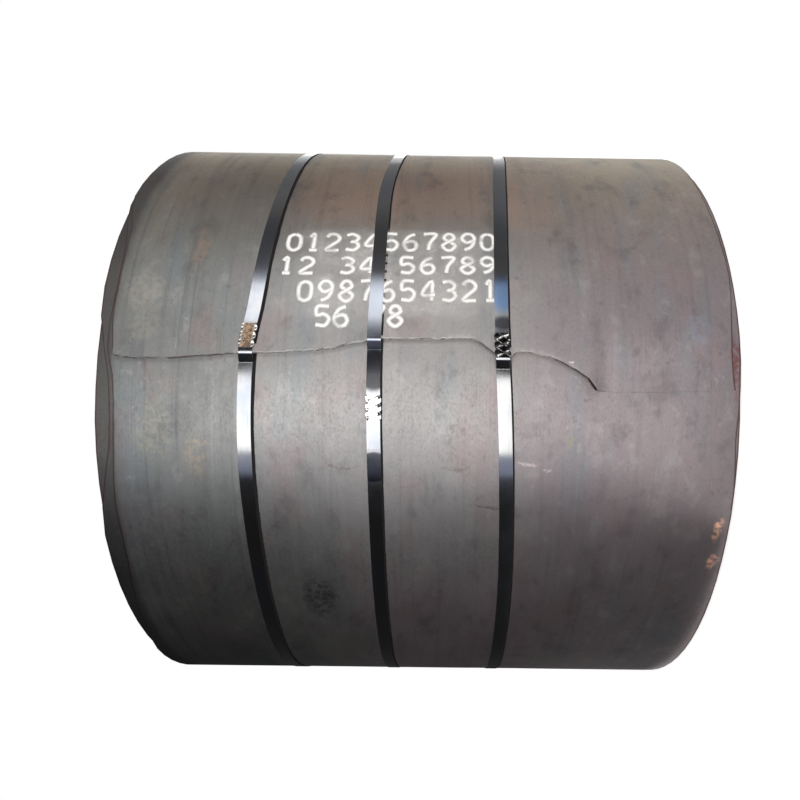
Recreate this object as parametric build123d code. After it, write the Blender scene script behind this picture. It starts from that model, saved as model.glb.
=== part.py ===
from build123d import *
import os
from math import acos, atan2, ceil, cos, degrees, radians, sin, tan

# A coil of hot-rolled steel strip, standing on one end, held by three steel straps with crimped seals.
# Millimetres. +Z is up along the bore, and -Y is the front, with the seals and the strip's end.
# The origin is the middle of the bore's mouth at the end that the coil stands on.

# The strip and how it is wound
strip_thickness = 11.75
turn_gap = 0.25
turns = 43
bore_radius = 381.0
coil_width = 1500.0

# The outer turn: how far its two edges stand back from the coil's ends. Its arcs start at the front.
outer_upper_setback = 54.0
outer_lower_setback = 8.0
arcs_per_turn = 4
front_angle = -90.0

# The strip's end, as seen from the front: a wavy line up the coil, at most this far to the side.
# Each pair is a share of the coil's width and a share of that reach.
end_line_reach = 171.0
end_line_shares = (
    (0.0, 0.3), (0.07, 0.25), (0.14, 0.24), (0.2, 0.31), (0.235, 0.5), (0.28, 0.71), (0.335, 0.83),
    (0.367, 0.73), (0.41, 0.98), (0.48, 1.0), (0.565, 0.985), (0.62, 0.87), (0.7, 0.785), (0.8, 0.75),
    (0.91, 0.68), (1.0, 0.7),
)

# The coil's ends: every few turns stand back by one of these multiples of a small depth
ledge_depth = 2.5
turns_per_ledge = 5
upper_ledges_back = (1, 0, 2, 1, 3, 0, 2, 1, 2)
lower_ledges_back = (0, 2, 1, 0, 1, 2, 0, 1, 0)

# Straps: flat steel bands, each at its height, tilted a little about X and about Y
strap_width = 32.0
strap_thickness = 1.0
strap_height = {"upper": 1101.0, "middle": 820.5, "lower": 518.5}
strap_tilt_angle = {"upper": (-2.0, 1.5), "middle": (-1.5, 0.2), "lower": (-1.7, -0.8)}

# Where a strap's two ends lie over each other: the seal between them, and how far they reach past it
seal_angle = {"upper": -79.8, "middle": -90.15, "lower": -80.8}
lap_past_seal = {"upper": (8.0, 12.0), "middle": (68.0, 12.0), "lower": (18.0, 12.0)}

# Seals: a steel sleeve folded over both layers of strap, crimped by notches along its two edges
seal_length = 57.0
seal_wall = 1.2
seal_side_gap = 0.8
seal_lip_gap = 0.3
notch_count = 3
notch_width = 6.0
notch_depth = 4.5

# One run past a face for every cut
overrun = 20.0

turn_pitch = strip_thickness + turn_gap
coil_radius = bore_radius + turns * turn_pitch
ledge_radius = coil_radius - 1.5 * turn_pitch
arc_sweep = 360 / arcs_per_turn
arc_drop = turn_pitch / arcs_per_turn
doubled_strap = 2 * strap_thickness
pocket_width = strap_width + 2 * seal_side_gap
seal_width = pocket_width + 2 * seal_wall


def heading(angle):
    """The direction at this angle round the bore."""
    return Vector(cos(radians(angle)), sin(radians(angle)))


def angle_along(length):
    """The angle round the bore that this length of strap covers."""
    return degrees(length / coil_radius)


def outer_arcs():
    """The outer turn's arcs, each (centre, radius, start angle), coming in by one pitch all round."""
    starts = [front_angle + number * arc_sweep for number in range(arcs_per_turn)]
    centres = [Vector(0, 0)]
    for start in starts[1:]:
        centres.append(centres[-1] + heading(start) * arc_drop)
    middle = sum(centres, Vector(0, 0)) / arcs_per_turn
    radii = [coil_radius - (number + 1 / 2) * arc_drop for number in range(arcs_per_turn)]
    return [(centre - middle, radius, start) for centre, radius, start in zip(centres, radii, starts)]


def point_on(arc, angle):
    centre, radius, _ = arc
    return centre + heading(angle) * radius


def wound_outline():
    """The outer turn seen along the bore: a spiral of arcs, with a step from the last to the first."""
    arcs = outer_arcs()
    step = Line(point_on(arcs[-1], front_angle), point_on(arcs[0], front_angle))
    return make_face([CenterArc(*arc, arc_sweep) for arc in arcs] + [step])


def end_line():
    """The line of the strip's end, drawn flat as seen from the front."""
    return Spline([(reach * end_line_reach, rise * coil_width) for rise, reach in end_line_shares])


def missing_strip():
    """The piece of the outer turn that the strip is too short for, down to the turn below."""
    line = end_line()
    sides = Polyline(line @ 1, (-overrun, coil_width), (-overrun, 0), line @ 0)
    seen = extrude(Plane.XZ * make_face([line, sides]), coil_radius + overrun)
    centre, radius, _ = outer_arcs()[-1]
    turn_below = Pos(centre) * Cylinder(radius, coil_width, align=(Align.CENTER, Align.CENTER, Align.MIN))
    return seen - turn_below


def end_corner_angle(side):
    """The angle at which this strap bends over the strip's end, where that reaches lowest under it."""
    height = strap_height[side] - coil_radius * tan(radians(strap_tilt_angle[side][0]))
    under_strap = end_line() & Pos(0, height) * Rectangle(4 * end_line_reach, 2 * strap_width)
    centre, radius, _ = outer_arcs()[0]
    return -degrees(acos((under_strap.bounding_box().min.X - centre.X) / radius))


def strap_outline(side):
    """The line of a tight strap: round the arcs, then straight to the edge of the strip's end."""
    first, *middle_arcs, last = outer_arcs()
    corner_angle = end_corner_angle(side)
    corner = point_on(first, corner_angle)
    centre, radius, start = last
    reach = corner - centre
    touch = degrees(atan2(reach.Y, reach.X)) - degrees(acos(radius / reach.length)) + 360
    curves = [CenterArc(*first[:2], corner_angle, front_angle + arc_sweep - corner_angle)]
    curves += [CenterArc(*arc, arc_sweep) for arc in middle_arcs]
    curves += [CenterArc(centre, radius, start, touch - start), Line(point_on(last, touch), corner)]
    return make_face(curves)


def band(side, inner, outer):
    """The ring between two heights above a strap's line."""
    line = strap_outline(side)
    return offset(line, outer) - (offset(line, inner) if inner else line)


def sector(start, end):
    """The part of the plane between two angles round the bore, out past the straps."""
    far = 2 * coil_radius
    return make_face(Polyline((0, 0), heading(start) * far, heading(end) * far, close=True))


def slab(side, width):
    """A wide plate this thick, at this strap's height and tilted like it."""
    place = Location((0, 0, strap_height[side]), (*strap_tilt_angle[side], 0))
    return place * Box(4 * coil_radius, 4 * coil_radius, width)


def cut_level(sketch, side, width):
    """The part of a sketch, drawn up through the whole coil, that lies in the strap's slab."""
    return extrude(sketch, coil_width) & slab(side, width)


def end_profile(ledges_back):
    """The end's ledges from the bore outwards: points of a radius and how far it stands back there."""
    points = []
    for number in range(ceil(turns / turns_per_ledge)):
        inner = bore_radius + number * turns_per_ledge * turn_pitch
        outer = min(inner + turns_per_ledge * turn_pitch, ledge_radius)
        if inner < ledge_radius:
            back = ledge_depth * ledges_back[number % len(ledges_back)]
            points += [(inner, back), (outer, back)]
    return points


def make_coil():
    """The inner turns as one turned solid with stepped ends, and the outer turn wound round them."""
    lower = end_profile(lower_ledges_back)
    upper = [(radius, coil_width - back) for radius, back in end_profile(upper_ledges_back)]
    outline = make_face(Polyline(*lower, *reversed(upper), close=True))
    turned = revolve(Plane.XZ * outline, Axis.Z)
    ring = wound_outline() - Circle(ledge_radius - turn_pitch)
    outer_width = coil_width - outer_lower_setback - outer_upper_setback
    outer_turn = extrude(Plane.XY.offset(outer_lower_setback) * ring, outer_width)
    return turned + (outer_turn - missing_strip())


def make_strap(side):
    """A band round the coil, doubled where its two ends lap through the seal."""
    below, above = lap_past_seal[side]
    start = seal_angle[side] - angle_along(seal_length / 2 + below)
    end = seal_angle[side] + angle_along(seal_length / 2 + above)
    lap = band(side, strap_thickness, doubled_strap) & sector(start, end)
    return cut_level(band(side, 0, strap_thickness) + lap, side, strap_width)


def make_seal(side):
    """A sleeve over the lapped strap, with a row of crimp notches cut into both edges."""
    first = seal_angle[side] - angle_along(seal_length / 2)
    last = seal_angle[side] + angle_along(seal_length / 2)
    outside = band(side, seal_lip_gap, doubled_strap + seal_wall) & sector(first, last)
    pocket = cut_level(band(side, 0, doubled_strap), side, pocket_width)
    sleeve = cut_level(outside, side, seal_width) - pocket
    edges = slab(side, seal_width + overrun) - slab(side, seal_width - 2 * notch_depth)
    for number in range(notch_count):
        middle = first + (last - first) * (number + 1 / 2) / notch_count
        notch = sector(middle - angle_along(notch_width / 2), middle + angle_along(notch_width / 2))
        sleeve -= extrude(notch, coil_width) & edges
    return sleeve


parts = {"coil": make_coil()}
for side in strap_height:
    parts[f"strap_{side}"] = make_strap(side)
    parts[f"seal_{side}"] = make_seal(side)

os.makedirs("parts", exist_ok=True)
for name, shape in parts.items():
    export_step(shape, f"parts/{name}.step")
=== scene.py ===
import bpy
import random
from math import asin, atan2, cos, degrees, pi, radians, sin
from mathutils import Matrix, Vector


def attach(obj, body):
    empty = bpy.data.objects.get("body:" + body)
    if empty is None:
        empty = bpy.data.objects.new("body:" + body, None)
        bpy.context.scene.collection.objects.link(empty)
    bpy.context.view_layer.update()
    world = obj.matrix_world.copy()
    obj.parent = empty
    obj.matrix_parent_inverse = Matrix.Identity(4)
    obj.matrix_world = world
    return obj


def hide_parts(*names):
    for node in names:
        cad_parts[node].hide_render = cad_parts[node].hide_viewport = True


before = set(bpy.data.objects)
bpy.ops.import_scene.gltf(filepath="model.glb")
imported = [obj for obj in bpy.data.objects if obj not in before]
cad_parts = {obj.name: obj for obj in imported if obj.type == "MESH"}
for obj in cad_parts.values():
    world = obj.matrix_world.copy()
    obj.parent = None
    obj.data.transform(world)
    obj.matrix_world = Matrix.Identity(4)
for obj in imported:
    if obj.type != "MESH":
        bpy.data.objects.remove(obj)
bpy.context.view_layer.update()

# The coil: one long strip of hot-rolled plate, 11.75 mm thick, wound tight on itself 42 times.
# Its skin is dull grey mill scale with streaks along the strip, stains and a little rust, and some light and
# shade painted into its colour.
# It is held by its own stiffness and three straps; its cut end lies wavy up the front.
mm = 0.001
strip_thickness = 11.75 * mm
turn_pitch = 12.0 * mm
coil_radius = 897.0 * mm
coil_width = 1500.0 * mm
whole_turns = 42
arc_drop = turn_pitch / 4
rim_round = 1.3 * mm

# How far the strip's upper and lower edges stand back from the coil's ends: (turns in, setback in mm)
upper_edge_back = (
    (0.0, 58), (0.024, 57), (0.038, 50), (0.052, 51), (0.08, 43), (0.09, 28), (0.1, 15), (0.14, 17),
    (0.3, 22), (0.6, 22), (0.8, 6), (0.858, 9), (0.886, 30), (0.906, 37), (0.935, 51), (0.959, 48),
    (0.981, 56), (1.009, 57), (1.024, 39), (1.055, 40), (1.075, 32), (1.095, 8), (1.12, 3), (1.5, 4),
    (1.94, 3), (1.96, 14), (1.981, 39), (2.009, 40), (2.028, 20), (2.045, 4), (2.2, 2), (3.0, 3),
)
lower_edge_back = (
    (0.0, 12), (0.012, 20), (0.025, 26), (0.035, 25), (0.045, 20), (0.06, 14), (0.1, 18), (0.15, 15),
    (0.3, 8), (0.6, 6), (0.85, 5), (0.94, 8), (0.965, 8), (0.978, 12), (0.988, 15), (1.0, 10), (1.03, 3),
    (1.2, 2), (2.0, 2), (3.0, 3),
)

# The line of the strip's cut end up the front: shares of the coil's width and of its reach to the side
end_line_reach = 171.0 * mm
end_line_shares = (
    (0.0, 0.3), (0.14, 0.25), (0.2, 0.25), (0.228, 0.285), (0.235, 0.39), (0.246, 0.47), (0.265, 0.575),
    (0.283, 0.654), (0.306, 0.732), (0.331, 0.783), (0.347, 0.77), (0.366, 0.66), (0.384, 0.76),
    (0.412, 0.937), (0.481, 0.935), (0.564, 0.925), (0.587, 0.885), (0.61, 0.843), (0.632, 0.792),
    (0.703, 0.736), (0.795, 0.69), (0.873, 0.634), (0.933, 0.626), (0.954, 0.65), (1.0, 0.7),
)

# From the first of these heights down to the second the cut end sinks by thin_end, so that no step shows
# below them. The sinking fades out over thin_over degrees.
thin_end = 11.95 * mm
thin_below = (350.0 * mm, 318.0 * mm)
thin_over = 9.5


def smooth_line(stations, place):
    """The value at a place on a smooth line through stations of (place, value)."""
    if place <= stations[0][0]:
        return stations[0][1]
    if place >= stations[-1][0]:
        return stations[-1][1]
    slopes = []
    for number in range(len(stations)):
        before = stations[max(number - 1, 0)]
        after = stations[min(number + 1, len(stations) - 1)]
        slopes.append((after[1] - before[1]) / (after[0] - before[0]))
    number = max(index for index, station in enumerate(stations) if station[0] <= place)
    (start, low), (end, high) = stations[number], stations[number + 1]
    span = end - start
    share = (place - start) / span
    swing = share * share * (3 - 2 * share)
    leave = share * (1 - share) ** 2 * slopes[number] * span
    arrive = share * share * (share - 1) * slopes[number + 1] * span
    return low + (high - low) * swing + leave + arrive


# Each turn of the wound strip is four arcs, which come in by one pitch all round
arc_centres = [Vector((0, 0))]
for quarter in range(3):
    arc_centres.append(arc_centres[-1] + Vector((cos(quarter * pi / 2), sin(quarter * pi / 2))) * arc_drop)
arc_middle = sum(arc_centres, Vector((0, 0))) / 4
arc_centres = [centre - arc_middle for centre in arc_centres]


def wound_place(turned, depth=0.0):
    """The point this many degrees along the strip from the front, this deep below its outer face."""
    whole, rest = divmod(turned, 360)
    arc = min(int(rest // 90), 3)
    radius = coil_radius - (arc + 0.5) * arc_drop - whole * turn_pitch - depth
    way = radians(turned - 90)
    return arc_centres[arc] + Vector((cos(way), sin(way))) * radius


# Further in than lines_reach turns, the edges stand back by ledges a few turns wide, and all wander (mm)
lines_reach = 2.2
turns_per_ledge = 3
ledge_step = 1.5
wander_by = 1.6
random.seed(11)
edge_wander = [
    (random.uniform(-wander_by, wander_by), random.uniform(-wander_by, wander_by))
    for turn in range(whole_turns + 2)
]
upper_ledges = (0, 1, 2, 0, 1, 2, 0, 3, 1, 2, 0, 1, 0, 2, 1)
lower_ledges = (0, 1, 0, 2, 1, 0, 2, 0, 1, 2, 0, 1, 2, 0, 1)


def edge_heights(turned):
    """The heights of the strip's lower and upper edge this many degrees along it."""
    turn = turned / 360
    whole = int(turn)
    rest = turn - whole
    swing = rest * rest * (3 - 2 * rest)
    held = 1 - max(0.0, min(1.0, turn - lines_reach))
    backs = []
    for side, line, ledges in ((0, lower_edge_back, lower_ledges), (1, upper_edge_back, upper_ledges)):
        wander = edge_wander[whole][side] * (1 - swing) + edge_wander[whole + 1][side] * swing
        ledge = ledges[(whole // turns_per_ledge) % len(ledges)] * ledge_step
        backs.append((smooth_line(line, turn) + (wander + ledge) * (1 - held)) * mm)
    return max(backs[0], 0.0), coil_width - max(backs[1], 0.0)


def start_angle(height):
    """How far along the wound strip its cut end lies at this height, in degrees from the front."""
    reach = smooth_line(end_line_shares, height / coil_width) * end_line_reach
    return degrees(asin(reach / coil_radius))


def strip_grid(name, columns, rows, places):
    """A sheet with these columns and rows; places(along, up) says where each of its points goes."""
    bpy.ops.object.select_all(action="DESELECT")
    bpy.ops.mesh.primitive_grid_add(x_subdivisions=columns, y_subdivisions=rows, size=1)
    grid = bpy.context.object
    grid.name = name
    for vertex in grid.data.vertices:
        vertex.co = places(vertex.co.x + 0.5, vertex.co.y + 0.5)
    return grid


def thicken(piece, thickness, rim):
    """Gives a sheet its thickness inwards and rounds its cut edges."""
    bpy.ops.object.select_all(action="DESELECT")
    piece.select_set(True)
    bpy.context.view_layer.objects.active = piece
    wall = piece.modifiers.new("wall", "SOLIDIFY")
    wall.thickness = thickness
    wall.offset = -1
    wall.use_even_offset = True
    bpy.ops.object.modifier_apply(modifier=wall.name)
    if rim:
        rounding = piece.modifiers.new("rim", "BEVEL")
        rounding.width = rim
        rounding.segments = 2
        rounding.limit_method = "ANGLE"
        rounding.angle_limit = radians(60)
        bpy.ops.object.modifier_apply(modifier=rounding.name)
    bpy.ops.object.mode_set(mode="EDIT")
    bpy.ops.mesh.select_all(action="SELECT")
    bpy.ops.mesh.normals_make_consistent(inside=False)
    bpy.ops.object.mode_set(mode="OBJECT")
    bpy.ops.object.shade_smooth_by_angle(angle=radians(22))


# The outer turn is one grid up to outer_stretch degrees in. Its columns are close together over the
# end_zone degrees next to the cut end, which is ragged by a few hundredths of a degree.
outer_stretch = 415.0
outer_columns = 114
end_columns = 12
end_zone = 10.0
rows = 160
ragged_by = 0.07
ragged = [random.uniform(-ragged_by, ragged_by) for row in range(rows + 1)]
inner_columns_per_turn = 72


def outer_place(along, up):
    """A point of the outer turn, along from its cut end and up from edge to edge."""
    low, high = edge_heights(10.0)
    column = along * outer_columns
    # The cut end's angle depends on the height, and the edges' heights on the angle
    for attempt in range(3):
        height = low + (high - low) * up
        first = start_angle(height) + ragged[round(up * rows)]
        if column < end_columns:
            reach = end_zone * column / end_columns
        else:
            share = (column - end_columns) / (outer_columns - end_columns)
            reach = end_zone + (outer_stretch - first - end_zone) * share
        low, high = edge_heights(first + reach)
    start, end = thin_below
    thin = smooth_line(((0.0, 0.0), (1.0, 1.0)), (start - height) / (start - end))
    share = min(reach / thin_over, 1.0)
    thin *= 1 - share * share * (3 - 2 * share)
    flat = wound_place(first + reach, thin * thin_end)
    return Vector((flat.x, flat.y, low + (high - low) * up))


def inner_place(along, up):
    """A point of the turns below the outer one, along to the strip's inner end at the bore."""
    turned = outer_stretch + (whole_turns * 360 - outer_stretch) * along
    low, high = edge_heights(turned)
    flat = wound_place(turned)
    return Vector((flat.x, flat.y, low + (high - low) * up))


outer_strip = strip_grid("coil_outer_turn", outer_columns, rows, outer_place)
thicken(outer_strip, strip_thickness, rim_round)
inner_strip = strip_grid("coil_inner_turns", (whole_turns - 1) * inner_columns_per_turn, 1, inner_place)
thicken(inner_strip, strip_thickness, rim_round)
bpy.ops.object.select_all(action="DESELECT")
inner_strip.select_set(True)
outer_strip.select_set(True)
bpy.context.view_layer.objects.active = outer_strip
bpy.ops.object.join()
coil = outer_strip
coil.name = "wound_strip"


class Shade:
    """A value in a node tree: sums on it add Math nodes, and node() adds any other node."""

    def __init__(self, tree, socket=None):
        self.tree = tree
        self.socket = socket

    def node(self, kind, settings=None, inputs=None, output=0):
        """A new node with these settings; its inputs are linked to a Shade or set to a constant."""
        new = self.tree.nodes.new(kind)
        for name, value in (settings or {}).items():
            setattr(new, name, value)
        for name, value in (inputs or {}).items():
            if isinstance(value, Shade):
                self.tree.links.new(value.socket, new.inputs[name])
            else:
                new.inputs[name].default_value = value
        return Shade(self.tree, new.outputs[output] if new.outputs else None)

    def math(self, operation, *values):
        """A new Math node on these values."""
        return self.node("ShaderNodeMath", {"operation": operation}, dict(enumerate(values)))

    def __add__(self, other):
        return self.math("ADD", self, other)

    def __sub__(self, other):
        return self.math("SUBTRACT", self, other)

    def __rsub__(self, other):
        return self.math("SUBTRACT", other, self)

    def __mul__(self, other):
        return self.math("MULTIPLY", self, other)

    def __truediv__(self, other):
        return self.math("DIVIDE", self, other)

    __radd__ = __add__


def new_skin(name):
    """A new material and the start of its node tree."""
    material = bpy.data.materials.new(name)
    material.use_nodes = True
    material.node_tree.nodes.clear()
    return material, Shade(material.node_tree)


def blend(mask, under, over):
    """One colour over another where the mask is 1."""
    return mask.node("ShaderNodeMix", {"data_type": "RGBA"}, {0: mask, 6: under, 7: over}, 2)


def between(value, low, high, to_low=0.0, to_high=1.0):
    """A smooth change from one number to another as the value goes from low to high."""
    return value.node("ShaderNodeMapRange", {"interpolation_type": "SMOOTHSTEP"}, {
        "Value": value, "From Min": low, "From Max": high, "To Min": to_low, "To Max": to_high})


def grain(place, stretch, detail=4.0, rough=0.6):
    """Noise with this many grains a metre along X, Y and Z."""
    stretched = place.node("ShaderNodeVectorMath", {"operation": "MULTIPLY"}, {0: place, 1: stretch})
    inputs = {"Vector": stretched, "Scale": 1.0, "Detail": detail, "Roughness": rough}
    return place.node("ShaderNodeTexNoise", {}, inputs)


def parts_of(vector):
    """The X, Y and Z of a vector."""
    split = vector.node("ShaderNodeSeparateXYZ", {}, {0: vector}).socket.node
    return [Shade(vector.tree, socket) for socket in split.outputs]


# The height of the skins' fine relief, and how far in and out of the coil's face a spot reaches (metres)
bump_height = 0.3 * mm
patch_depth = 0.25


def finish_skin(skin, colour, metallic, roughness, bump=None, alpha=None, shine=0.5):
    """Ends a material in a principled shader."""
    inputs = {"Base Color": colour, "Metallic": metallic, "Roughness": roughness}
    inputs["Specular IOR Level"] = shine
    if bump is not None:
        relief = {"Height": bump, "Distance": bump_height, "Strength": 1.0}
        inputs["Normal"] = skin.node("ShaderNodeBump", {}, relief)
    if alpha is not None:
        inputs["Alpha"] = alpha
    shader = skin.node("ShaderNodeBsdfPrincipled", {}, inputs)
    skin.node("ShaderNodeOutputMaterial", {}, {"Surface": shader})


def spot(place, angle, high, half_round, half_high, soft=0.4):
    """1 in a patch on the coil at this angle from the front and height (mm), 0 outside it."""
    way = radians(angle)
    centre = (sin(way) * coil_radius, -cos(way) * coil_radius, high * mm)
    size = (half_round * cos(way) * mm, patch_depth, half_high * mm)
    away = place.node("ShaderNodeVectorMath", {"operation": "SUBTRACT"}, {0: place, 1: centre})
    shares = place.node("ShaderNodeVectorMath", {"operation": "DIVIDE"}, {0: away, 1: size})
    reach = place.node("ShaderNodeVectorMath", {"operation": "LENGTH"}, {0: shares}, "Value")
    return between(reach, 1.0, soft)


# The sky side is +X, which is up in the picture
scale_skin, skin = new_skin("mill_scale")
place = skin.node("ShaderNodeTexCoord", output="Object")
sky_way, depth_way, height = parts_of(place)
strip_across = parts_of(skin.node("ShaderNodeTexCoord", output="UV"))[1]
normal = skin.node("ShaderNodeNewGeometry", output="Normal")
normal_x, normal_y, normal_z = parts_of(normal)
clouds = grain(place, (1.6, 1.6, 2.4), 5.0, 0.55)
drifts = grain(place, (1.2, 1.2, 9.0), 4.0, 0.6)
streaks = grain(place, (1.1, 1.1, 45.0), 5.0, 0.65)
threads = grain(place, (2.0, 2.0, 260.0), 3.0, 0.6)
bloom = grain(place, (4.5, 4.5, 6.0), 5.0, 0.6)
tarnish = grain(place, (2.6, 2.6, 11.0), 5.0, 0.6)
fine = grain(place, (150.0, 150.0, 260.0), 3.0, 0.6)
mottle = grain(place, (11.0, 11.0, 17.0), 5.0, 0.62)
specks = grain(place, (48.0, 48.0, 60.0), 3.0, 0.55)
jitter = skin.node("ShaderNodeTexNoise", {}, {"Vector": place, "Scale": 22.0, "Detail": 4.0}, "Color")
jitter = skin.node("ShaderNodeVectorMath", {"operation": "SUBTRACT"}, {0: jitter, 1: (0.5, 0.5, 0.5)})
torn_inputs = {0: jitter, 1: (0.04, 0.04, 0.04), 2: place}
torn = skin.node("ShaderNodeVectorMath", {"operation": "MULTIPLY_ADD"}, torn_inputs)

grey_middle = (0.225, 0.216, 0.21, 1)
grey_mauve = (0.192, 0.164, 0.169, 1)
grey_slate = (0.158, 0.161, 0.155, 1)
grey_olive = (0.235, 0.195, 0.15, 1)
dust_and_sky_light_tone = (0.34, 0.29, 0.215, 1)
grey_dark = (0.085, 0.078, 0.08, 1)
grey_light = (0.3, 0.285, 0.275, 1)
warm_brown = (0.36, 0.245, 0.19, 1)
rosy_grey = (0.29, 0.23, 0.252, 1)
faint_rust = (0.22, 0.155, 0.155, 1)
blue_tarnish = (0.14, 0.165, 0.18, 1)
setback_shade_band = (0.06, 0.055, 0.052, 1)
setback_shade_edge = (0.045, 0.043, 0.043, 1)
far_side_shade_tone = (0.02, 0.02, 0.021, 1)
rim_rust_and_shade = (0.06, 0.035, 0.032, 1)
rust_dark = (0.09, 0.035, 0.025, 1)
rust_light = (0.2, 0.12, 0.08, 1)
cut_face_painted_shade = (0.2, 0.16, 0.15, 1)
cut_face_painted_light = (0.85, 0.83, 0.81, 1)

# The scale's tone drifts up the coil, and round it from brown on the sky side to rosy on the far side.
# The sky side carries dust and is painted lighter as painted light; the far side is painted darker towards
# the upper end, as painted shade.
lean = height + (drifts - 0.5) * 0.35 + (clouds - 0.5) * 0.3
dust_and_sky_light = between(sky_way + (clouds - 0.5) * 0.1, 0.58, 0.76)
colour = blend(between(lean, 0.35, 0.65), grey_mauve, grey_middle)
colour = blend(between(lean, 0.85, 1.25), colour, grey_slate)
colour = blend(between(sky_way + (clouds - 0.5) * 0.3, 0.3, 0.7) * 0.85, colour, grey_olive)
side_drift = sky_way + (clouds - 0.5) * 0.2
above_foot = between(height, 0.38, 0.52)
browned = between(side_drift, 0.4, 0.54) * between(height, 1.12, 1.0) * above_foot
colour = blend(browned * 0.6, colour, warm_brown)
flushed = between(side_drift, -0.3, -0.5) * between(height, 0.98, 0.8) * above_foot
colour = blend(flushed * 0.6, colour, rosy_grey)
# Dust, and painted light: the sky side is lighter
colour = blend(dust_and_sky_light * 0.8, colour, dust_and_sky_light_tone)
colour = blend(between(bloom, 0.5, 0.66) * 0.35, colour, faint_rust)
colour = blend(between(tarnish, 0.5, 0.68) * 0.4, colour, blue_tarnish)
colour = blend(between(mottle, 0.52, 0.7) * 0.38, colour, grey_dark)
colour = blend(between(mottle, 0.46, 0.3) * 0.32, colour, grey_light)
upper_third = between(height + (drifts - 0.5) * 0.3, 1.0, 1.25)
colour = blend(between(streaks, 0.5, 0.7) * (0.18 + upper_third * 0.27), colour, grey_dark)
colour = blend(between(streaks, 0.45, 0.3) * 0.12, colour, grey_light)
colour = blend(between(threads, 0.55, 0.75) * 0.13, colour, grey_dark)
colour = blend(between(fine, 0.5, 0.75) * 0.2, colour, grey_dark)
colour = blend(between(specks, 0.6, 0.72) * between(bloom, 0.42, 0.55) * 0.28, colour, grey_dark)
colour = blend(between(specks, 0.38, 0.27) * between(tarnish, 0.42, 0.55) * 0.25, colour, grey_light)
# Painted shade: the set-back turns near the upper end are darker, most along the outer turn's edge
colour = blend(between(height + (bloom - 0.5) * 0.1, 1.39, 1.5) * 0.6, colour, setback_shade_band)
colour = blend(between(height + (bloom - 0.5) * 0.02, 1.435, 1.455) * 0.55, colour, setback_shade_edge)
# Painted shade: the far side is darker towards the upper end
far_side_painted_shade = between(side_drift, -0.5, -0.76) * between(height + (drifts - 0.5) * 0.2, 0.95, 1.25)
colour = blend(far_side_painted_shade * 0.6, colour, far_side_shade_tone)

# Stains: degrees from the front, height, half width and half height (mm), colour and strength
stains = (
    (12.0, 101, 52, 38, (0.2, 0.225, 0.28), 0.5), (17.0, 1385, 80, 66, (0.3, 0.265, 0.2), 0.27),
    (11.5, 1370, 45, 50, (0.28, 0.24, 0.18), 0.25), (-4.0, 1350, 95, 60, (0.28, 0.26, 0.19), 0.27),
    (-7.5, 1252, 70, 40, (0.29, 0.22, 0.15), 0.42), (25.0, 1272, 75, 20, (0.25, 0.17, 0.13), 0.6),
    (45.4, 1324, 50, 60, (0.26, 0.24, 0.19), 0.5), (-32.5, 991, 105, 58, (0.06, 0.06, 0.06), 0.75),
    (-14.9, 577, 6, 46, (0.07, 0.06, 0.06), 0.6), (-7.5, 915, 7, 7, (0.07, 0.05, 0.05), 0.8),
    (-9.0, 927, 5, 60, (0.14, 0.1, 0.09), 0.6), (-8.8, 658, 5, 50, (0.14, 0.1, 0.1), 0.6),
    (-8.2, 489, 6, 32, (0.45, 0.38, 0.38), 0.6), (-9.1, 443, 4, 14, (0.42, 0.36, 0.36), 0.6),
    (-4.5, 400, 48, 7, (0.22, 0.2, 0.14), 0.7), (6.9, 396, 4, 8, (0.5, 0.48, 0.46), 0.8),
    (1.4, 361, 4, 16, (0.13, 0.09, 0.09), 0.6), (8.7, 54, 14, 10, (0.09, 0.1, 0.13), 0.8),
    (-17.9, 36, 40, 15, (0.85, 0.48, 0.34), 0.95), (-23.7, 34, 27, 16, (0.85, 0.48, 0.34), 0.95),
    (6.8, 14, 95, 18, (0.16, 0.06, 0.065), 0.9), (-13.1, 3, 130, 8, (0.15, 0.065, 0.055), 0.8),
)
broken = between(grain(place, (70.0, 70.0, 70.0), 4.0, 0.65), 0.38, 0.6)
for angle, high, half_round, half_high, tint, strength in stains:
    colour = blend(spot(torn, angle, high, half_round, half_high) * broken * strength, colour, (*tint, 1))

# The strip's edges are rusty, with a dark rim that is rust and painted shade. Where the cut end stands up,
# its face is painted light over its own shade, with patches of painted shade that grow
# towards its upper and lower parts.
rim_share = skin.math("ABSOLUTE", strip_across - 0.5)
# Rust and painted shade: a dark rim along the strip's edges
rim_rust_and_shade_mask = between(rim_share + (bloom - 0.5) * 0.004, 0.4965, 0.4985)
colour = blend(rim_rust_and_shade_mask * 0.85, colour, rim_rust_and_shade)
edge_rust = blend(between(grain(place, (90.0, 90.0, 300.0)), 0.35, 0.65), rust_dark, rust_light)
on_edge = between(skin.math("ABSOLUTE", normal_z), 0.35, 0.8)
colour = blend(on_edge, colour, edge_rust)
from_axis = skin.math("SQRT", sky_way * sky_way + depth_way * depth_way)
outwards = skin.math("ABSOLUTE", (normal_x * sky_way + normal_y * depth_way) / from_axis)
facing_along = between(outwards + skin.math("ABSOLUTE", normal_z), 0.8, 0.45)
on_cut = facing_along * between(height, 0.3, 0.36)
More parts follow.
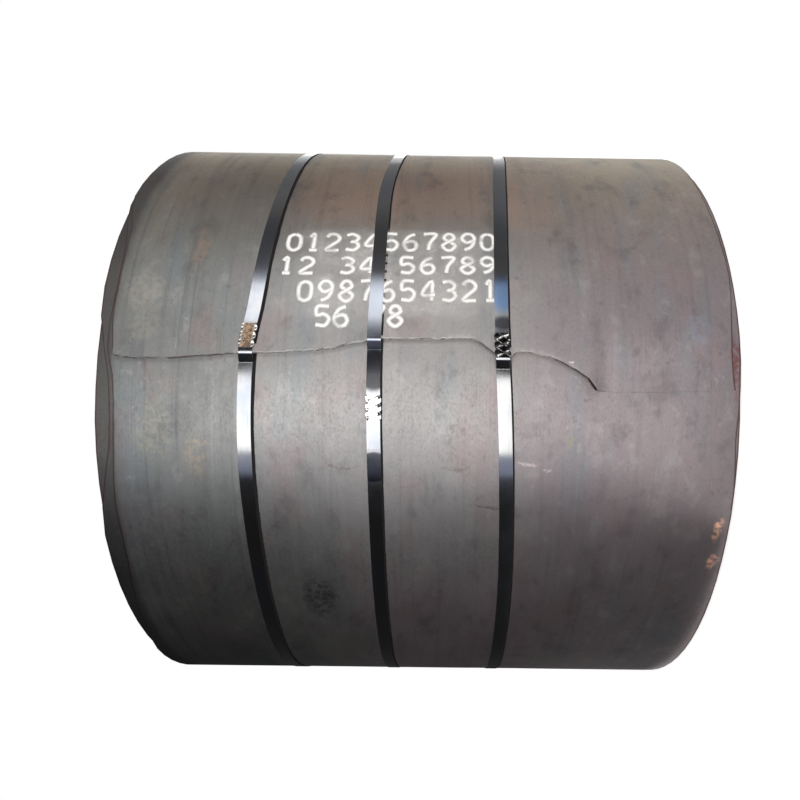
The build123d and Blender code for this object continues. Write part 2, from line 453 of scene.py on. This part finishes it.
# Painted light on the cut end's face, with painted shade in places
cut_face_shade_share = between(height, 1.08, 1.2) + between(height, 0.5, 0.4)
cut_face_light_share = between(grain(place, (60.0, 60.0, 30.0), 4.0, 0.7) - cut_face_shade_share * 0.12, 0.38, 0.5)
cut_face_painted_tone = blend(cut_face_light_share, cut_face_painted_shade, cut_face_painted_light)
colour = blend(on_cut, colour, cut_face_painted_tone)
roughness = between(clouds, 0.3, 0.7, 0.46, 0.54) + between(fine, 0.3, 0.7, -0.03, 0.05)
metallic = 0.96 - on_cut * 0.86 - dust_and_sky_light * 0.2
finish_skin(skin, colour, metallic, roughness, fine * 0.5 + threads * 0.3)

coil.data.materials.clear()
coil.data.materials.append(scale_skin)
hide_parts("coil")
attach(coil, "root")

# Straps: three bands of blued steel, 32 mm wide and 1 mm thick, drawn tight round the coil. Each is one
# open length whose outer end lies over its inner end, with a seal crimped over both. It bends over the
# strip's cut end and runs straight to the turn below. A shadow is painted on the coil along its lower side.
strap_width = 32.0 * mm
strap_thickness = 1.0 * mm
seal_length = 57.0 * mm
bend_reach = 20.0 * mm
bend_leg = 4.0 * mm
bend_row_gap = 0.8 * mm
rows_round = 400
rim_steps = 720
strap_rim = 0.3 * mm

# The strap's outer end lies this many thicknesses over its inner end, and comes down over this length
lap_lift = 1.1
lap_slope = 14.0 * mm

# The painted shadow's width (mm) beside each strap, how far it reaches under it, and its lift off the coil
strap_shadow_width = {"upper": 9.5, "middle": 6.5, "lower": 6.0}
strap_shadow_under = 1.0 * mm
strap_shadow_lift = 0.12 * mm

# The height of each strap's middle (mm) at these degrees from the front, positive towards the sky side
strap_heights = {
    "upper": ((-180, 1070), (-130, 1092), (-90, 1122), (-60, 1136), (-33, 1134), (-19, 1137), (-9, 1142),
              (1, 1143), (8, 1140), (15, 1127), (23, 1120), (34, 1112), (44, 1107), (60, 1101),
              (100, 1086), (140, 1072), (180, 1070)),
    "middle": ((-180, 797), (-130, 812), (-90, 830), (-60, 839), (-35, 841), (-16, 844), (3, 849), (15, 848),
               (25, 846), (39, 846), (54, 833), (90, 816), (135, 800), (180, 797)),
    "lower": ((-180, 492), (-130, 504), (-90, 518), (-60, 527), (-31, 531), (-18, 537), (-8, 543), (1, 549),
              (11, 556), (21, 557), (35, 552), (45, 546), (56, 536), (90, 514), (135, 496), (180, 492)),
}

# Where each seal's middle is (degrees from the front), and how far the strap's ends reach past it (mm)
seal_at = {"upper": 10.2, "middle": -0.15, "lower": 9.2}
lap_past_seal = {"upper": (8.0, 12.0), "middle": (68.0, 12.0), "lower": (18.0, 12.0)}


def strap_height(side, angle):
    """The height of a strap's middle at this angle from the front."""
    return smooth_line(strap_heights[side], (angle + 180) % 360 - 180) * mm


def degrees_along(length):
    """The degrees round the coil that this length of strap covers."""
    return degrees(length / coil_radius)


def bend_points(start, corner, end, steps=8):
    """A rounded bend from start by way of a corner to end."""
    shares = [step / steps for step in range(steps + 1)]
    return [start.lerp(corner, share).lerp(corner.lerp(end, share), share) for share in shares]


def strap_corner(side):
    """The degrees from the front at which a strap bends over the strip's cut end."""
    height = strap_height(side, 10)
    # The cut end is wavy, so its nearest point within the strap's width counts
    return min(start_angle(height + step * mm) for step in range(-16, 17, 4))


def rim_line(side):
    """The tight strap's line, seen along the bore: (degrees from the front, radius), for one turn."""
    corner = strap_corner(side)
    foot = corner + 360 - degrees_along(bend_reach)
    leg = degrees_along(bend_leg)
    top, low = wound_place(corner), wound_place(foot)
    part = bend_leg / (top - low).length
    sweep = foot - corner - leg
    points = [wound_place(corner + leg + sweep * step / rim_steps) for step in range(rim_steps + 1)]
    points += bend_points(top.lerp(low, part), top, wound_place(corner + leg))
    line = sorted((degrees(atan2(point.x, -point.y)), point.length) for point in points)
    return [(line[-1][0] - 360, line[-1][1])] + line + [(line[0][0] + 360, line[0][1])]


def rim_radius(line, angle):
    """The radius of a strap's line at this angle from the front."""
    angle = (angle + 180) % 360 - 180
    low, high = 0, len(line) - 1
    while high - low > 1:
        half = (low + high) // 2
        if line[half][0] <= angle:
            low = half
        else:
            high = half
    share = (angle - line[low][0]) / max(line[high][0] - line[low][0], 1e-9)
    return line[low][1] * (1 - share) + line[high][1] * share


def strap_rows(side, tail, sweep):
    """The degrees along a strap of its cross rows: even ones, and closer ones in its bends."""
    rows_at = [tail + sweep * step / rows_round for step in range(rows_round + 1)]
    for bend in (strap_corner(side), strap_corner(side) - degrees_along(bend_reach)):
        for lap in (0, 360):
            close = [bend + lap + degrees_along(step * bend_row_gap) for step in range(-8, 9)]
            rows_at += [row for row in close if tail < row < tail + sweep]
    return sorted(rows_at)


strap_skin, skin = new_skin("blued_strap")
place = skin.node("ShaderNodeTexCoord", output="Object")
patches = grain(place, (5.0, 5.0, 5.0), 4.0, 0.6)
scratch = grain(place, (8.0, 8.0, 400.0), 3.0, 0.6)
sky_way = parts_of(place)[0]
bare_grey = (0.2, 0.2, 0.2, 1)
blued_grey = (0.165, 0.175, 0.2, 1)
colour = blend(between(patches, 0.4, 0.62), bare_grey, blued_grey)
# Dark patches painted where the straps mirror dark surroundings, and a blue patch: degrees from the front,
# height, half length and half width (mm), how soft, colour and strength
strap_patches_and_reflections = (
    (17.5, 552, 62, 40, 0.5, (0.085, 0.15, 0.27), 0.85),
    (5.4, 848, 56, 40, 0.75, (0.02, 0.02, 0.022), 0.85),
    (12.6, 552, 24, 40, 0.4, (0.025, 0.025, 0.03), 0.9),
    (-8.9, 846, 38, 40, 0.85, (0.03, 0.03, 0.033), 0.9),
)
for angle, high, half_round, half_high, soft, tint, strength in strap_patches_and_reflections:
    mark = spot(place, angle, high, half_round, half_high, soft)
    colour = blend(mark * strength, colour, (*tint, 1))
# Painted shade: the straps are darker some way round on the sky side
strap_painted_shade_band = between(sky_way, 0.28, 0.33) * between(sky_way, 0.55, 0.42)
colour = blend(strap_painted_shade_band * 0.6, colour, (0.05, 0.05, 0.055, 1))
colour = blend(between(scratch, 0.55, 0.8) * 0.5, colour, (0.1, 0.1, 0.105, 1))
finish_skin(skin, colour, 1.0, between(patches, 0.3, 0.7, 0.12, 0.23))

# Painted shadow: a dark sheet on the coil along each strap's lower side
strap_shadow_skin, skin = new_skin("strap_painted_shadow")
place = skin.node("ShaderNodeTexCoord", output="Object")
near = parts_of(skin.node("ShaderNodeTexCoord", output="UV"))[1]
smear = grain(place, (9.0, 9.0, 9.0), 4.0, 0.6)
cover = between(near + (smear - 0.5) * 0.5, 0.06, 0.22)
finish_skin(skin, (0.012, 0.01, 0.01, 1), 0.0, 0.6, alpha=cover, shine=0.05)

strap_lines = {}
for side in strap_heights:
    below, above = lap_past_seal[side]
    line = rim_line(side)
    strap_lines[side] = line
    tail = seal_at[side] - degrees_along(seal_length / 2 + below * mm)
    head = seal_at[side] + degrees_along(seal_length / 2 + above * mm)
    row_angles = strap_rows(side, tail, 360 + head - tail)

    def strap_place(along, up):
        """A point of this strap's outer face, along from its outer end."""
        angle = row_angles[round(along * (len(row_angles) - 1))]
        over = 1 - max(0.0, min(1.0, (angle - head) / degrees_along(lap_slope)))
        radius = rim_radius(line, angle) + strap_thickness * (1 + lap_lift * over)
        way = radians(angle)
        height = strap_height(side, angle) + (up - 0.5) * strap_width
        return Vector((sin(way) * radius, -cos(way) * radius, height))

    def strap_shadow_place(along, up):
        """A point of the shadow painted on the coil along this strap's lower side."""
        angle = along * 360 - 180
        height = strap_height(side, angle) - strap_width / 2 + strap_shadow_under
        height -= strap_shadow_width[side] * mm * (1 - up)
        turned = angle if angle > start_angle(height) else angle + 360
        radius = wound_place(turned).length + strap_shadow_lift
        way = radians(angle)
        return Vector((sin(way) * radius, -cos(way) * radius, height))

    strap = strip_grid("strap_" + side + "_band", len(row_angles) - 1, 1, strap_place)
    thicken(strap, strap_thickness, strap_rim)
    strap.data.materials.append(strap_skin)
    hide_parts("strap_" + side)
    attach(strap, "root")
    strap_shadow = strip_grid("painted_shadow_" + side, 240, 2, strap_shadow_place)
    strap_shadow.data.materials.append(strap_shadow_skin)
    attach(strap_shadow, "root")

# Seals: sleeves of bare steel, 57 mm long, folded over both layers of the strap and crimped.
# The crimping tool cuts notches into both edges and bends the tabs between them up and down.
# The grip of those tabs is all that holds the straps.
seal_width = 37.0 * mm
seal_wall = 1.2 * mm
notch_depth = 4.5 * mm
ridge_rise = 0.9 * mm
curl_rise = 1.8 * mm
seal_lift = 0.5 * mm

# Each seal has this many crimps, slanted by a share of their pitch. The half widths of their ridges and
# notches are shares of that pitch too.
crimps = 3
crimp_slant = 0.45
ridge_half = 0.24
notch_half = 0.3

# Shares of the way from a seal's middle to its side: where the tabs begin, how far on they are full,
# and where the sheet folds down to the coil
tab_from = 0.45
tab_full_over = 0.35
fold_at = 0.88

seal_skin, skin = new_skin("seal_steel")
place = skin.node("ShaderNodeTexCoord", output="Object")
height = parts_of(place)[2]
seal_along, seal_up = parts_of(skin.node("ShaderNodeTexCoord", output="UV"))[:2]
across = skin.math("ABSOLUTE", seal_up - 0.5)
blotch = grain(place, (70.0, 70.0, 70.0), 4.0, 0.6)
colour = blend(between(blotch, 0.45, 0.65), (0.5, 0.49, 0.48, 1), (0.2, 0.19, 0.18, 1))

# The upper seal is rusty in its middle. The lower one is painted black, as a painted dark reflection, with
# painted highlights along its creases
rusty = between(height, 0.9, 1.05) * between(across + (blotch - 0.5) * 0.3, 0.38, 0.24)
rust_grain = between(grain(place, (160.0, 160.0, 160.0)), 0.42, 0.56)
stained = blend(rust_grain, (0.075, 0.05, 0.035, 1), (0.24, 0.155, 0.09, 1))
colour = blend(rusty, colour, stained)
# Painted dark reflection: the lower seal is made black
seal_painted_dark = between(height, 0.66, 0.6)
colour = blend(seal_painted_dark, colour, (0.022, 0.02, 0.022, 1))
# Painted highlights: bright lines along the lower seal's creases
crease_one = skin.math("FRACT", seal_along * crimps + (seal_up - 0.5) * 0.9)
crease_two = skin.math("FRACT", seal_along * crimps + 0.8 - (seal_up - 0.5) * 1.4)
off_one = skin.math("ABSOLUTE", crease_one - 0.5)
off_two = skin.math("ABSOLUTE", crease_two - 0.5)
crease_grain = grain(place, (130.0, 130.0, 130.0)) - 0.5
off_crease = skin.math("MINIMUM", off_one, off_two + 0.03) + crease_grain * 0.5
colour = blend(seal_painted_dark * between(off_crease, 0.1, 0.04), colour, (0.5, 0.49, 0.47, 1))
roughness = between(blotch, 0.3, 0.7, 0.12, 0.24) + rusty * 0.2
finish_skin(skin, colour, 1 - rusty * 0.6, roughness, blotch)

for side in strap_heights:
    line = strap_lines[side]
    middle = seal_at[side]

    def seal_place(along, up):
        """A point of this seal's outer face, along the strap and up across it."""
        angle = middle + degrees_along((along - 0.5) * seal_length)
        side_share = abs(up - 0.5) * 2
        half_side = 1 if up > 0.5 else -1
        phase = (along * crimps + crimp_slant * side_share * half_side) % 1
        ridge = max(0.0, 1 - abs(phase - 0.5) / ridge_half)
        notch = max(0.0, 1 - abs(phase - 0.5) / notch_half)
        grip = max(0.0, min(1.0, (side_share - tab_from) / tab_full_over))
        flat = min(side_share / fold_at, 1.0)
        drop = max(0.0, side_share - fold_at) / (1 - fold_at)
        half = seal_width / 2 - notch_depth * grip * notch * flat
        rise = (ridge_rise * ridge * (0.4 + side_share) + curl_rise * grip * notch) * (1 - drop)
        radius = rim_radius(line, angle) + 2 * strap_thickness * (1 - drop) + seal_wall + seal_lift + rise
        way = radians(angle)
        offset = half * flat * half_side
        return Vector((sin(way) * radius, -cos(way) * radius, strap_height(side, angle) + offset))

    seal = strip_grid("seal_" + side + "_sleeve", 48, 24, seal_place)
    thicken(seal, seal_wall, 0.0)
    seal.data.materials.append(seal_skin)
    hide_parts("seal_" + side)
    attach(seal, "root")

# Painted figures: four rows of plain numbers sprayed in white by a marking head before strapping.
# The paint is thin with soft edges, and the straps lie over some of the figures.
# Each stroke is a thin ribbon that fades out to its sides.

# The strokes of each figure: their points as shares of the figure's width and height
figure_strokes = {
    "0": ((
        (0.5, 1), (0.1, 0.85), (0.0, 0.5), (0.1, 0.15), (0.5, 0), (0.9, 0.15), (1, 0.5), (0.9, 0.85),
        (0.5, 1),
    ),),
    "1": (((0.2, 0.8), (0.5, 1.0), (0.5, 0.0)), ((0.2, 0), (0.8, 0))),
    "2": ((
        (0.0, 0.78), (0.2, 0.97), (0.6, 1.0), (0.95, 0.82), (0.9, 0.58), (0.4, 0.3), (0.0, 0.0), (1.0, 0.0),
    ),),
    "3": ((
        (0.0, 0.92), (0.5, 1.0), (0.95, 0.8), (0.75, 0.55), (0.4, 0.52), (0.8, 0.48), (1, 0.22), (0.6, 0.0),
        (0.0, 0.06),
    ),),
    "4": (((0.75, 0.0), (0.75, 1.0), (0.0, 0.3), (1.0, 0.3)),),
    "5": (((0.95, 1.0), (0.1, 1.0), (0.05, 0.55), (0.6, 0.6), (1.0, 0.35), (0.7, 0.02), (0.0, 0.06)),),
    "6": ((
        (0.85, 1.0), (0.3, 0.8), (0.0, 0.35), (0.3, 0.0), (0.8, 0.03), (1.0, 0.3), (0.7, 0.55), (0.1, 0.45),
    ),),
    "7": (((0.0, 1.0), (1.0, 1.0), (0.55, 0.45), (0.4, 0.0)),),
    "8": ((
        (0.5, 0.53), (0.1, 0.72), (0.3, 0.98), (0.7, 0.98), (0.9, 0.72), (0.5, 0.53), (0.0, 0.27), (0.3, 0.0),
        (0.7, 0.0), (1.0, 0.27), (0.5, 0.53),
    ),),
    "9": ((
        (0.95, 0.6), (0.4, 0.45), (0.0, 0.7), (0.3, 1.0), (0.8, 0.95), (1.0, 0.65), (0.75, 0.2), (0.2, 0.0),
    ),),
}
figure_width = 30.0 * mm
stroke_width = 16.5 * mm

# The paint's lift off the coil. Each stroke lies a little over the last, so that no two share a face.
paint_lift = 0.15 * mm
stroke_lift = 0.004 * mm

# The mist of overspray round the rows: where it starts (degrees) and how far round it goes, its upper
# edge's height and how tall it is (mm), and its lift off the coil
mist_from = 12.0
mist_sweep = 18.0
mist_high = 1090
mist_tall = 560
mist_lift = 0.1 * mm

# Rows of figures: the numbers, the first and last one's height on the coil (mm), the degrees of their
# feet from the front there, and how tall they are (mm)
figure_rows = (
    ("01234567890", 1053.0, 587.0, 24.74, 25.36, 51.0),
    ("12 34 56789", 1063.0, 588.0, 20.46, 21.0, 44.0),
    ("0987654321", 1014.0, 583.0, 15.81, 16.27, 51.0),
    ("56 78", 969.0, 802.0, 11.85, 12.05, 48.0),
)

paint_skin, skin = new_skin("sprayed_paint")
place = skin.node("ShaderNodeTexCoord", output="Object")
across = parts_of(skin.node("ShaderNodeTexCoord", output="UV"))[1]
off_centre = skin.math("ABSOLUTE", across - 0.5) * 2
mist = grain(place, (260.0, 260.0, 260.0), 3.0, 0.7)
thin = grain(place, (18.0, 18.0, 18.0), 3.0, 0.6)
cover = between(off_centre + (mist - 0.5) * 0.8, 0.95, 0.15) * between(thin, 0.3, 0.5, 0.6, 1.0)
colour = blend(between(mist, 0.4, 0.6), (0.68, 0.66, 0.64, 1), (0.78, 0.77, 0.76, 1))
finish_skin(skin, colour, 0.0, 0.8, alpha=cover)

mist_skin, skin = new_skin("paint_mist")
place = skin.node("ShaderNodeTexCoord", output="Object")
mist_along, mist_up = parts_of(skin.node("ShaderNodeTexCoord", output="UV"))[:2]
inside_along = between(skin.math("ABSOLUTE", mist_along - 0.5), 0.5, 0.3)
inside_up = between(skin.math("ABSOLUTE", mist_up - 0.5), 0.5, 0.35)
cover = inside_along * inside_up * between(grain(place, (14.0, 14.0, 14.0), 5.0, 0.7), 0.35, 0.68, 0.13, 0.48)
finish_skin(skin, (0.6, 0.58, 0.56, 1), 0.0, 0.8, alpha=cover)


def ribbon_points(stroke, steps=5):
    """A smooth run of points through the stroke's corners."""
    ends = [stroke[0], *stroke, stroke[-1]]
    points = []
    for number in range(len(stroke) - 1):
        before, start, end, after = (Vector(point) for point in ends[number:number + 4])
        for step in range(steps):
            share = step / steps
            points.append(0.5 * (2 * start + (end - before) * share
                + (2 * before - 5 * start + 4 * end - after) * share ** 2
                + (3 * start - before - 3 * end + after) * share ** 3))
    return points + [Vector(stroke[-1])]


figures = []
lift = paint_lift
for digits, first_height, last_height, first_angle, last_angle, tall in figure_rows:
    row_height = tall * mm
    for number, digit in enumerate(digits):
        share = number / (len(digits) - 1)
        figure_left = (first_height + (last_height - first_height) * share) * mm + figure_width / 2
        foot_angle = first_angle + (last_angle - first_angle) * share
        for stroke in figure_strokes.get(digit, ()):
            path = [
                Vector((figure_left - point.x * figure_width, point.y * row_height))
                for point in ribbon_points(stroke)
            ]
            lift += stroke_lift

            def stroke_place(along, up):
                """A point of this stroke's ribbon, along it and up across it."""
                spot_on = min(int(along * (len(path) - 1) + 0.5), len(path) - 1)
                way = (path[min(spot_on + 1, len(path) - 1)] - path[max(spot_on - 1, 0)]).normalized()
                point = path[spot_on] + Vector((-way.y, way.x)) * (up - 0.5) * stroke_width
                angle = foot_angle + degrees_along(point.y)
                radius = wound_place(max(angle, 0)).length + lift
                turn = radians(angle)
                return Vector((sin(turn) * radius, -cos(turn) * radius, point.x))

            figures.append(strip_grid("figure_stroke", len(path) - 1, 4, stroke_place))
bpy.ops.object.select_all(action="DESELECT")
for stroke in figures:
    stroke.select_set(True)
bpy.context.view_layer.objects.active = figures[0]
bpy.ops.object.join()
painted = figures[0]
painted.name = "painted_figures"
painted.data.materials.append(paint_skin)
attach(painted, "root")


def mist_place(along, up):
    """A point of the mist, along from its upper edge down the coil and up round it."""
    angle = mist_from + mist_sweep * up
    radius = wound_place(angle).length + mist_lift
    turn = radians(angle)
    return Vector((sin(turn) * radius, -cos(turn) * radius, (mist_high - mist_tall * along) * mm))


mist_patch = strip_grid("paint_mist", 8, 24, mist_place)
mist_patch.data.materials.append(mist_skin)
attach(mist_patch, "root")

# The studio: a pale floor, a white surround and three soft lamps, in front, on the sky side and behind.
# The cards only show in the steel's reflections, where they give it its bright and dark bands.


def seen_directly(start):
    """1 for the rays that the camera sees, straight or mirrored, and 0 for those that give light."""
    ray = start.node("ShaderNodeLightPath").socket.node
    camera_ray, glossy_ray, clear_ray = (
        Shade(start.tree, ray.outputs[name])
        for name in ("Is Camera Ray", "Is Glossy Ray", "Is Transmission Ray")
    )
    return start.math("MAXIMUM", start.math("MAXIMUM", camera_ray, glossy_ray), clear_ray)


bpy.ops.object.select_all(action="DESELECT")
bpy.ops.mesh.primitive_plane_add(size=40, location=(0, 0, 0))
ground = bpy.context.object
ground.name = "studio_floor"
floor_skin, skin = new_skin("floor_white")
matt = skin.node("ShaderNodeBsdfDiffuse", {}, {"Color": (0.6, 0.6, 0.6, 1)})
glow = skin.node("ShaderNodeEmission", {}, {"Color": (1, 1, 1, 1), "Strength": 0.75})
both = skin.node("ShaderNodeAddShader", {}, {0: matt, 1: glow})
shown = skin.node("ShaderNodeMixShader", {}, {0: seen_directly(skin), 1: matt, 2: both})
skin.node("ShaderNodeOutputMaterial", {}, {"Surface": shown})
ground.data.materials.append(floor_skin)

card_skins = {}
card_tones = {
    "black": (0.035, 0.035, 0.035),
    "blue": (0.8, 0.88, 1.2),
    "dim": (0.22, 0.22, 0.22),
    "grey": (0.35, 0.35, 0.35),
    "white": (2.2, 2.2, 2.2),
}
for name, tone in card_tones.items():
    card_skins[name], skin = new_skin("card_" + name)
    plain = skin.node("ShaderNodeEmission", {}, {"Color": (*tone, 1), "Strength": 1.0})
    skin.node("ShaderNodeOutputMaterial", {}, {"Surface": plain})


def stand_lamp(lamp, angle, distance, middle, name):
    """Stands a lamp at this angle from the front, this far off, facing the coil."""
    way = radians(angle)
    centre = Vector((sin(way) * distance, -cos(way) * distance, middle))
    back = Vector((sin(way), -cos(way), 0))
    side = Vector((0, 0, 1)).cross(back)
    turn = Matrix((side, Vector((0, 0, 1)), back)).transposed().to_4x4()
    lamp.matrix_world = Matrix.Translation(centre) @ turn
    lamp.name = name
    lamp.visible_camera = False


def card(name, tone, places):
    """A card that only shows in the steel's reflections."""
    sheet = strip_grid("card_" + name, 24, 1, places)
    sheet.data.materials.append(card_skins[tone])
    sheet.visible_camera = False
    sheet.visible_diffuse = False
    sheet.visible_shadow = False


def wall(angle, distance, width, tall):
    """The places of a card that stands upright on the floor, facing the coil."""
    way = radians(angle)
    out = Vector((sin(way), -cos(way), 0))
    side = Vector((cos(way), sin(way), 0))
    return lambda along, up: out * distance + side * (along - 0.5) * width + Vector((0, 0, tall * up))


def fan(first, last, near, far, height):
    """The places of a level card round part of the coil."""
    def place_at(along, up):
        """A point of the card, along round the coil and up away from it."""
        way = radians(first + (last - first) * along)
        distance = near + (far - near) * up
        return Vector((sin(way) * distance, -cos(way) * distance, height))
    return place_at


card("between", "black", wall(21.5, 3.9, 1.25, 3.4))
card("side", "black", wall(-45.0, 3.6, 3.83, 6.0))
card("low", "black", wall(-110.0, 3.2, 5.0, 6.0))
card("sheen", "blue", wall(-17.5, 3.4, 0.42, 3.4))
card("over", "grey", wall(83.0, 3.9, 5.6, 3.8))
card("ceiling", "black", fan(-170, 60, 0.0, 5.5, 3.9))
card("floor", "dim", fan(-165, -19, 0.91, 5.0, 0.006))
card("reflector", "white", fan(-17, 10, 1.1, 3.9, 0.006))

# Lamps: name, degrees from the front, width, height, radiance and the height of the middle (metres)
lamp_distance = 4.0
lamps = (
    ("lamp_front", -0.6, 1.88, 3.3, 4.7, 1.75),
    ("lamp_sky", 38.0, 1.05, 3.4, 4.0, 2.1),
    ("lamp_over", 138.0, 1.6, 3.4, 1.4, 1.9),
)
for name, angle, width, tall, radiance, middle in lamps:
    bpy.ops.object.light_add(type="AREA")
    lamp = bpy.context.object
    lamp.data.shape = "RECTANGLE"
    lamp.data.size = width
    lamp.data.size_y = tall
    lamp.data.energy = radiance * pi * width * tall
    stand_lamp(lamp, angle, lamp_distance, middle, name)

world = bpy.data.worlds.new("studio")
bpy.context.scene.world = world
world.use_nodes = True
world.node_tree.nodes.clear()
room = Shade(world.node_tree)
dim = room.node("ShaderNodeBackground", {}, {"Color": (1, 0.98, 0.95, 1), "Strength": 0.45})
white = room.node("ShaderNodeBackground", {}, {"Color": (1, 1, 1, 1), "Strength": 1.0})
surround = room.node("ShaderNodeMixShader", {}, {0: seen_directly(room), 1: dim, 2: white})
room.node("ShaderNodeOutputWorld", {}, {"Surface": surround})

# The viewpoint: the coil stands on its end, and the camera lies on its side to see it as if the coil
# lay on its round. It looks at the seals from 2.2 metres off the bore's axis, and level with that.
camera_place = Vector((-0.04922325, -2.21007632, 0.68653257))
camera_right = Vector((0.01340101, -0.00531708, -0.99989607))
camera_ahead = Vector((-0.00710121, 0.99996014, -0.00541259))
bpy.ops.object.camera_add(location=camera_place)
camera = bpy.context.object
camera.data.lens = 26.116
camera.data.sensor_width = 36
camera.data.shift_x = -0.058657
camera.data.shift_y = 0.041735
camera_up = camera_right.cross(camera_ahead).normalized()
turn = Matrix((camera_right, camera_up, -camera_ahead)).transposed().to_4x4()
camera.matrix_world = Matrix.Translation(camera_place) @ turn
bpy.context.scene.camera = camera
bpy.context.scene.view_settings.view_transform = "Standard"

bpy.context.view_layer.update()
